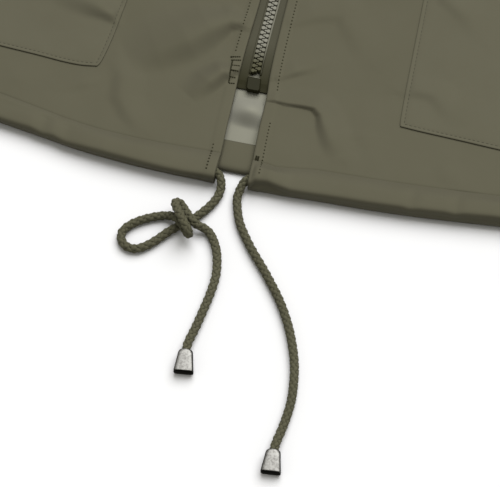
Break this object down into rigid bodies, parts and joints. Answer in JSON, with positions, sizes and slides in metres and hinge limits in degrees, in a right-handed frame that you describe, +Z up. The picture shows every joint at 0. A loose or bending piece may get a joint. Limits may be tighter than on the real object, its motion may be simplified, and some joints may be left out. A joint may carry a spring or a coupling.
{
  "type": "rain jacket",
  "caption": "Hip-length rain jacket laid flat, front up, with a closed zip, stand collar, long sleeves, patch pockets and hem drawcords that end in metal bell tips.",
  "frame": {"origin": "middle of the jacket's outline without the drawcords, on the surface it lies on", "axes": "+X across the body towards the viewer's right, +Y from hem to collar, +Z up from the surface"},
  "size_m": [1.3172, 0.9058, 0.0129],
  "materials": {
    "shell": "matt coated rain cloth, olive, fine plain weave",
    "pocket": "matt coated rain cloth, olive",
    "tape": "woven zip tape",
    "teeth": "moulded plastic, satin",
    "box": "moulded plastic, dark olive",
    "slider": "painted die-cast metal",
    "cord": "round braided cord",
    "tip": "plated bright metal"
  },
  "bodies": {
    "jacket": {"back": "shell", "front_left": "shell", "front_right": "shell", "sleeve_left": "shell", "sleeve_right": "shell", "collar": "shell", "pocket_left": "pocket", "pocket_right": "pocket", "zip_tape_left": "tape", "zip_tape_right": "tape", "zip_teeth_left": "teeth", "zip_teeth_right": "teeth", "zip_box": "box", "zip_slider": "slider", "drawcord_left": "cord", "drawcord_right": "cord", "tip_left": "tip", "tip_right": "tip"},
    "pull_tab": {"zip_pull": "slider"}
  },
  "joints": [
    {"name": "pull_hinge", "type": "hinge", "parent": "jacket", "child": "pull_tab", "pos_m": [0, 0.3042, 0.00805], "axis": [-1, 0, 0], "range_deg": [0, 175]}
  ]
}
